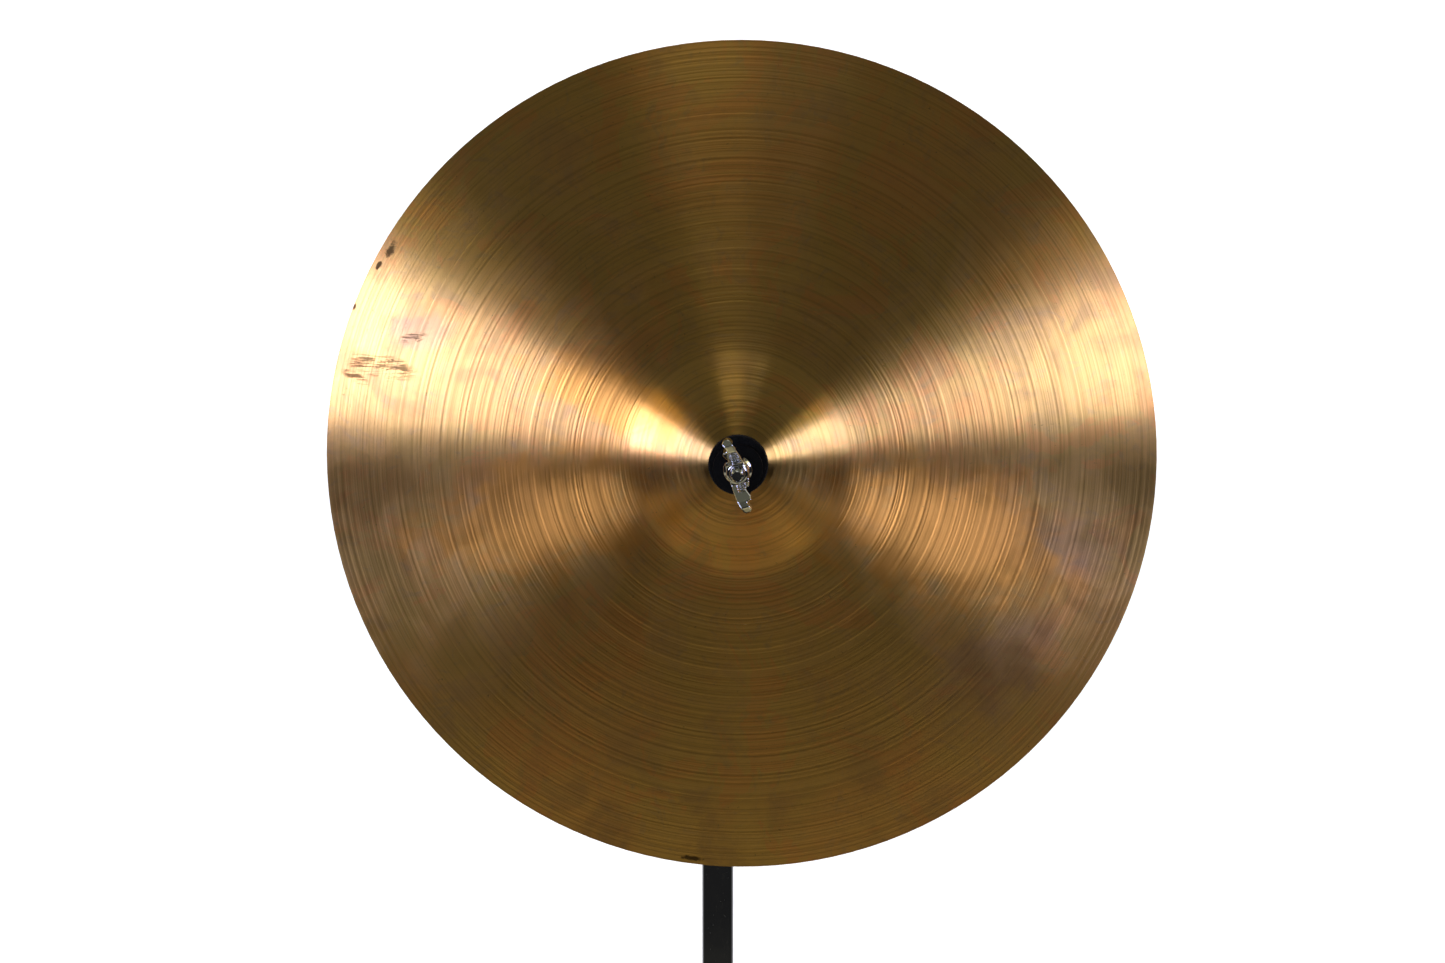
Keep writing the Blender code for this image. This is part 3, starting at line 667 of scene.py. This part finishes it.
def fuzz_tree():
    """Short loose fibres that stand on a felt's surface in every direction."""
    inputs = {"Density": ("Float", 2.4e6), "Length": ("Float", 0.0007), "Thickness": ("Float", 0.00003)}
    inputs.update({"Seed": ("Int", 3), "Material": ("Material", None)})
    tree, wiring, given = new_tree("felt_fuzz", inputs)
    scatter = wiring.add(
        "GeometryNodeDistributePointsOnFaces",
        {"Mesh": given["Geometry"], "Density": given["Density"], "Seed": given["Seed"]},
    )
    fibre_shape = wiring.add(
        "GeometryNodeMeshCone",
        {"Vertices": 3, "Radius Top": 0.0, "Radius Bottom": given["Thickness"], "Depth": given["Length"]},
    )
    lean_out = wiring.add("FunctionNodeRandomValue", {"Seed": given["Seed"]}, data_type="FLOAT_VECTOR")
    lean_out.inputs[0].default_value = (-1.2, -1.2, -3.1)
    lean_out.inputs[1].default_value = (1.2, 1.2, 3.1)
    size = wiring.add("FunctionNodeRandomValue", {"Seed": wiring.plus(given["Seed"], 7)}, data_type="FLOAT")
    size.inputs[2].default_value = 0.4
    size.inputs[3].default_value = 1.2
    turned_out = wiring.add(
        "FunctionNodeRotateRotation",
        {"Rotation": scatter.outputs["Rotation"], "Rotate By": lean_out.outputs[0]},
        rotation_space="LOCAL",
    )
    placed = wiring.add(
        "GeometryNodeInstanceOnPoints",
        {
            "Points": scatter.outputs["Points"], "Instance": fibre_shape.outputs["Mesh"],
            "Rotation": turned_out.outputs[0], "Scale": size.outputs[1],
        },
    )
    close_tree(wiring, placed.outputs[0])
    return tree


# ---------------------------------------------------------------- the cymbal and its felts


def make_cymbal():
    mesh = grow(disc_tree(), {"Material": BRONZE})
    disc = object_from("cymbal_disc", mesh, CYMBAL_FRAME, sharp=radians(50))
    finish_piece(disc, "cymbal", BRONZE, "cymbal_bronze", "cymbal")


def sheet_top(radius):
    """The disc's upper face, from the middle of the sheet at the hole."""
    def height(at):
        dome = BELL_RISE * (1 - (at / BELL_RADIUS) ** 2)
        return BOW_RISE * (1 - (at / RIM_RADIUS) ** 3) + (dome + sqrt(dome**2 + BELL_BLEND**2)) / 2
    return height(radius) - height(HOLE_RADIUS) + HOLE_THICKNESS / 2


FELT_RADIUS = radius_of("upper_felt")
FELT_BORE = 6.6 * MM
FELT_FACE = 7.9 * MM  # how far each felt's flat face is from the sheet's middle
FELT_SIDE = FELT_RADIUS - 0.4 * MM  # where the bulging side begins
BULGE = 0.35 * MM
PRESSED_GAP = 0.3 * MM  # between the pressed face and the sheet
FUZZ = fuzz_tree()


def make_felt(side, name, replaced):
    """One felt washer: a slightly bulging, uneven ring pressed to the bell, with loose fibres."""
    sheet_offset = PRESSED_GAP if side > 0 else -PRESSED_GAP - 0.05 * MM - HOLE_THICKNESS
    radii = [FELT_BORE + (FELT_SIDE - FELT_BORE) * i / 10 for i in range(11)]
    pressed = [(r, sheet_top(r) + sheet_offset) for r in radii]
    flat = [(r, side * FELT_FACE) for r in reversed(radii)]
    low, high = pressed[-1][1], side * FELT_FACE
    bulge = [(FELT_SIDE + BULGE * sin(pi * k / 8), low + (high - low) * k / 8) for k in range(1, 8)]
    outline = pressed + bulge + flat
    obj = turned(name, outline, Matrix.Identity(4), 120, 0.4 * MM)
    divide = obj.modifiers.new("divide", "SUBSURF")
    divide.subdivision_type = "SIMPLE"
    divide.levels = divide.render_levels = 1
    texture = bpy.data.textures.new(name + "_matting", "CLOUDS")
    texture.noise_scale = 1.4 * MM
    uneven = obj.modifiers.new("uneven", "DISPLACE")
    uneven.texture = texture
    uneven.strength = 0.22 * MM
    uneven.mid_level = 0.75
    mesh = evaluated_mesh(obj)
    bpy.data.objects.remove(obj)
    felt_piece = object_from(name, mesh, CYMBAL_FRAME, sharp=radians(70))
    fuzz_mesh = grow(FUZZ, {"Material": FELT, "Seed": 3 if side > 0 else 4}, mesh.copy())
    fuzz = object_from(name + "_fuzz", fuzz_mesh)
    finish_piece(felt_piece, "felts", FELT, "black_felt", replaced)
    finish_piece(fuzz, "felts", FELT, "black_felt")


# ---------------------------------------------------------------- what sits on the rod

THREAD = thread_tree()
THREAD_RADIUS = 3 * MM
BORE = THREAD_RADIUS + 0.3 * MM
SLEEVE_RADIUS = 4.8 * MM


def make_threaded(name, place, start, end, body, node):
    mesh = grow(THREAD, {"Length": end - start, "Radius": THREAD_RADIUS, "Material": ZINC})
    bar = object_from(name, mesh, place @ Matrix.Translation((0, 0, start)), sharp=radians(35))
    finish_piece(bar, body, ZINC, "zinc_steel", node)


def ring(inner, outer, low, high):
    return [(inner, low), (outer, low), (outer, high), (inner, high)]


def make_seat():
    """The stack under the lower felt, and the washer over the upper one."""
    low, high = rod_span("seat_washer")
    reach = radius_of("seat_washer")
    lip, bore = 0.9 * MM, SLEEVE_RADIUS + 0.3 * MM
    cup = [
        (bore, low), (reach - 3 * MM, low), (reach, low + lip), (reach, high),
        (reach - lip, high), (reach - 3.4 * MM, low + lip), (bore, low + lip),
    ]
    finish_piece(turned("seat_cup", cup, ROD_FRAME, 128), "tilter_arm", CHROME, "chrome", "seat_washer")

    low, high = rod_span("seat_sleeve")
    flange_radius = radius_of("seat_sleeve")
    flange = low + 3 * MM
    sleeve = [
        (BORE, low), (flange_radius, low), (flange_radius, flange),
        (SLEEVE_RADIUS, flange), (SLEEVE_RADIUS, high), (BORE, high),
    ]
    piece = turned("nylon_sleeve", sleeve, ROD_FRAME, 96, 0.4 * MM)
    finish_piece(piece, "tilter_arm", NYLON, "black_nylon", "seat_sleeve")

    low, high = rod_span("top_washer")
    washer = ring(BORE, radius_of("top_washer"), low, high)
    piece = turned("nylon_washer", washer, ROD_FRAME, 96, 0.5 * MM)
    finish_piece(piece, "top_washer", NYLON, "black_nylon", "top_washer")


NUT_FLAT = 5 * MM  # from the nut's axis to a flat
NUT_CORNER = NUT_FLAT * 2 / sqrt(3)
NUT_WORN = 0.08 * MM  # what is rounded off its corners
NUT_LEAD = 0.5 * MM  # the chamfer of its bore
NUT_SEGMENTS = 96
CONE_ROWS = 10


def hex_nut(name, place, low, high, body, node):
    """A hexagon nut: six flats cut back by a cone at both ends, and a chamfered bore."""
    drop = (NUT_CORNER - NUT_FLAT) * tan(radians(30)) * 1.3
    steps = [drop * k / CONE_ROWS for k in range(CONE_ROWS + 1)]
    heights = [low + step for step in steps] + [high - step for step in reversed(steps)]
    start, widening = NUT_FLAT - NUT_WORN, NUT_CORNER - NUT_FLAT + NUT_WORN
    outline = [(start + widening * min(z - low, high - z) / drop, z) for z in heights]
    outline += [(BORE + NUT_LEAD, high), (BORE, high - NUT_LEAD)]
    outline += [(BORE, low + NUT_LEAD), (BORE + NUT_LEAD, low)]
    bm = bmesh.new()
    rings = []
    for k in range(NUT_SEGMENTS):
        turn = 2 * pi * k / NUT_SEGMENTS
        limit = min(NUT_FLAT / cos(turn % (pi / 3) - pi / 6), NUT_CORNER - NUT_WORN)
        reach = [(min(r, limit), z) for r, z in outline]
        rings.append([bm.verts.new((r * cos(turn), r * sin(turn), z)) for r, z in reach])
    for k in range(NUT_SEGMENTS):
        for i in range(len(outline)):
            bm.faces.new((rings[k - 1][i - 1], rings[k][i - 1], rings[k][i], rings[k - 1][i]))
    piece = object_from(name, mesh_from(bm, name), place, sharp=radians(28))
    finish_piece(piece, body, ZINC, "zinc_steel", node)


def make_rod_parts():
    start, end = rod_span("cymbal_rod")
    make_threaded("rod_thread", ROD_FRAME, start, end, "tilter_arm", "cymbal_rod")
    for name in ("rod_jam_nut", "seat_stop_nut"):
        hex_nut(name + "_hex", ROD_FRAME, *rod_span(name), "tilter_arm", name)
    piece = cast_piece("wing_nut_cast", "wing_nut", 0.28 * MM, 5)
    finish_piece(piece, "wing_nut", CHROME, "chrome", "wing_nut")


# ---------------------------------------------------------------- the tilter and the tube


def make_tilter():
    castings = [("tilter_base", "tube", 0.42, 5), ("tilter_arm", "tilter_arm", 0.38, 4)]
    castings += [("clamp_wing", "clamp_screw", 0.28, 5)]
    for node, body, voxel, passes in castings:
        piece = cast_piece(node + "_cast", node, voxel * MM, passes)
        finish_piece(piece, body, CAST_CHROME, "cast_chrome", node)
    start, end = span("clamp_screw", 0)
    make_threaded("clamp_thread", CROSS_FRAME, start, end, "clamp_screw", "clamp_screw")
    hex_nut("clamp_nut_hex", CROSS_FRAME, *span("clamp_nut", 0), "tube", "clamp_nut")

    fibre_ring = ring(BORE, radius_of("friction_disc", 1), *span("friction_disc", 0))
    piece = turned("fibre_disc", fibre_ring, CROSS_FRAME, 96, 0.15 * MM)
    finish_piece(piece, "tube", FIBRE, "friction_fibre", "friction_disc")
    washer = ring(BORE, radius_of("clamp_washer", 1), *span("clamp_washer", 0))
    piece = turned("clamp_flat_washer", washer, CROSS_FRAME, 72, 0.2 * MM)
    finish_piece(piece, "clamp_washers", ZINC, "zinc_steel", "clamp_washer")
    low, high = span("spring_washer", 0)
    reach = radius_of("spring_washer", 1)
    sheet = 0.8 * MM
    cone = [(BORE, high - sheet), (reach, low), (reach, low + sheet), (BORE, high)]
    piece = turned("clamp_cone_washer", cone, CROSS_FRAME, 72, 0.15 * MM)
    finish_piece(piece, "clamp_washers", ZINC, "zinc_steel", "spring_washer")


TUBE_WALL = 1.2 * MM
PLUG_FLANGE = 2.5 * MM


def make_tube():
    """The plated tube with rounded ends, its plug and the pin that holds the tilter."""
    low, high = span("upper_tube", 2)
    reach = radius_of("upper_tube")
    wall = ring(reach - TUBE_WALL, reach, low, high)
    piece = turned("plated_tube", wall, TUBE_FRAME, 160, 0.35 * MM)
    finish_piece(piece, "tube", CHROME, "chrome", "upper_tube")
    low, high = span("tube_end_plug", 2)
    flange, stem = low + PLUG_FLANGE, reach - TUBE_WALL - 0.3 * MM
    plug = [(0, low), (reach - 0.6 * MM, low), (reach, low + 0.8 * MM), (reach, flange)]
    plug += [(stem, flange), (stem, high), (0, high)]
    piece = turned("end_plug", plug, TUBE_FRAME, 96, 0.4 * MM)
    finish_piece(piece, "tube", NYLON, "black_nylon", "tube_end_plug")
    start, end = span("tube_pin", 0)
    pin_z = sum(span("tube_pin", 2)) / 2
    place = Matrix.Translation((0, 0, pin_z)) @ Matrix.Rotation(pi / 2, 4, "Y")
    half = radius_of("tube_pin", 2)
    pin = [(0.55 * MM, start), (half, start), (half, end), (0.55 * MM, end)]
    finish_piece(turned("cross_pin", pin, place, 48, 0.3 * MM), "tube", ZINC, "zinc_steel", "tube_pin")


# ---------------------------------------------------------------- floor, light and camera

CAMERA_DISTANCE = 2.0
CAMERA_AZIMUTH = radians(1.8)
CAMERA_ELEVATION = radians(12.6)
DISC_WIDTH = 0.5745  # the disc's share of the picture's width
DISC_RIGHT = 0.01246  # how far its middle is right of the picture's, as a share of its width
DISC_UP = 0.01682  # and how far above


def make_stage():
    """A pale floor that curves up into a wall all round."""
    flat, bend, wall = 4.6, 1.6, 3.2
    outline = [(0, 0), (flat / 2, 0), (flat, 0)]
    outline += [(flat + bend * sin(k * pi / 16), bend * (1 - cos(k * pi / 16))) for k in range(1, 9)]
    outline += [(flat + bend, bend + wall)]
    bm = bmesh.new()
    verts = [bm.verts.new((r, 0, z)) for r, z in outline]
    edges = [bm.edges.new(pair) for pair in zip(verts, verts[1:])]
    spin_about_z(bm, verts + edges, 96)
    bmesh.ops.remove_doubles(bm, verts=bm.verts, dist=1e-5)
    mesh = mesh_from(bm, "floor")
    floor = object_from("floor", mesh)
    pale = colour(0.86, 0.86, 0.86)
    material, _, shader = new_material("pale_floor", pale, 0.9, 0.0, Emission_Strength=0.62)
    shader.inputs["Emission Color"].default_value = colour(1, 1, 1)
    floor.data.materials.append(material)
    floor.visible_glossy = False


DIM = colour(0.012, 0.012, 0.012)
# What lies in front of the cymbal: the heights between which each band fades in, and its colour
BANDS = [(0.1, 0.45, colour(0.1, 0.1, 0.072)), (-0.32, -0.46, colour(0.4, 0.37, 0.26))]
BANDS += [(-0.48, -0.58, colour(0.09, 0.086, 0.06)), (-0.64, -0.76, colour(0.56, 0.48, 0.25))]
BANDS += [(-0.83, -0.9, DIM)]


def make_world():
    """Soft surroundings: dim in front of the cymbal with two lighter bands low down, and pale behind."""
    world = bpy.data.worlds.new("studio")
    scene.world = world
    world.use_nodes = True
    wiring = Wiring(world.node_tree)
    background = world.node_tree.nodes["Background"]
    toward = wiring.split(wiring.add("ShaderNodeTexCoord").outputs["Generated"])
    front = DIM
    for start, end, shade in BANDS:
        front = wiring.blend(wiring.ramp(toward[2], start, end), front, shade)
    behind = wiring.ramp(toward[1], 0.5, 0.9)
    pale = wiring.blend(wiring.ramp(toward[2], -0.5, 0.6), colour(0.3, 0.3, 0.31), colour(1, 1, 1))
    wiring.feed(background.inputs["Color"], wiring.blend(behind, front, pale))
    background.inputs["Strength"].default_value = 1.0


def outward(azimuth, elevation):
    """The direction from the disc at these angles."""
    return Vector((sin(azimuth) * cos(elevation), -cos(azimuth) * cos(elevation), sin(elevation)))


def disc_middle():
    """The middle of the rim's circle."""
    depth = sheet_top(HOLE_RADIUS) - sheet_top(RIM_RADIUS)
    return swing_centre - cymbal_axis * depth


def add_light(name, azimuth, elevation, distance, width, height, radiance, tint):
    """A soft rectangular light that faces the disc. Azimuth 0 is in front and positive is to the right."""
    data = bpy.data.lights.new(name, "AREA")
    data.shape = "RECTANGLE"
    data.size = width
    data.size_y = height
    data.energy = radiance * pi * width * height
    data.color = tint
    light = bpy.data.objects.new(name, data)
    scene.collection.objects.link(light)
    out = outward(azimuth, elevation)
    light.location = disc_middle() + out * distance
    light.rotation_mode = "QUATERNION"
    light.rotation_quaternion = (-out).to_track_quat("-Z", "Y")
    light.visible_camera = False


# Azimuth of each panel of the two windows, the elevations it spans and its radiance
WINDOWS = [(22, 4.6, 11.2, 3.1), (34, 5.3, 16.4, 3.1), (46, 5.3, 20.2, 3.8), (58, 5.2, 22.8, 4.4)]
WINDOWS += [(-22, 4.2, 10.4, 2.8), (-34, 4.2, 16.2, 3.6), (-46, 3.8, 20.2, 6.2), (-58, 3.4, 22.8, 7.4)]
WARM_WALLS = [(66, 24, 33.5), (-66, 24, 35)]  # beside the windows
OUTER_AZIMUTH = 40  # beyond it the panels are bluer
PANEL_SPAN = radians(12)
WINDOW_DISTANCE = 1.7
WINDOW_TINT = (1, 1.06, 1.4)
OUTER_TINT = (1, 1.1, 1.85)
WARM_TINT = (1, 0.9, 0.42)
PANEL_TINT = (1, 1.02, 1.02)


def add_panel(name, azimuth, low, high, radiance, tint, breadth=PANEL_SPAN):
    """A panel of a window, given by the angles at which the disc's middle sees it."""
    width = 2 * WINDOW_DISTANCE * tan(breadth / 2)
    height = 2 * WINDOW_DISTANCE * tan(radians(high - low) / 2)
    middle = radians((low + high) / 2)
    add_light(name, radians(azimuth), middle, WINDOW_DISTANCE, width, height, radiance, tint)


def make_lights():
    for azimuth, low, high, radiance in WINDOWS:
        tint = OUTER_TINT if abs(azimuth) > OUTER_AZIMUTH else WINDOW_TINT
        add_panel(f"window_{azimuth}", azimuth, low, high, radiance, tint)
    for azimuth, low, high in WARM_WALLS:
        add_panel(f"warm_wall_{azimuth}", azimuth, low, high, 1.0, WARM_TINT, 2 * PANEL_SPAN)
    add_panel("ceiling_patch", -14, 52, 70, 0.5, WARM_TINT, radians(16))
    add_panel("high_panel", 0, 73, 88, 0.6, PANEL_TINT, radians(30))


def make_camera():
    data = bpy.data.cameras.new("camera")
    camera = bpy.data.objects.new("camera", data)
    scene.collection.objects.link(camera)
    out = outward(CAMERA_AZIMUTH, CAMERA_ELEVATION)
    facing = (-out).to_track_quat("-Z", "Y")
    right, up = facing @ Vector((1, 0, 0)), facing @ Vector((0, 1, 0))
    picture_width = 2 * RIM_RADIUS / DISC_WIDTH
    middle = disc_middle() - right * (DISC_RIGHT * picture_width) - up * (DISC_UP * picture_width)
    camera.location = middle + out * CAMERA_DISTANCE
    camera.rotation_mode = "QUATERNION"
    camera.rotation_quaternion = facing
    data.sensor_width = 36
    data.lens = data.sensor_width * CAMERA_DISTANCE / picture_width
    data.clip_end = 60
    scene.camera = camera


make_cymbal()
make_felt(1, "felt_top", "upper_felt")
make_felt(-1, "felt_bottom", "lower_felt")
make_seat()
make_rod_parts()
make_tilter()
make_tube()
make_stage()
make_world()
make_lights()
make_camera()
scene.view_settings.view_transform = "Standard"
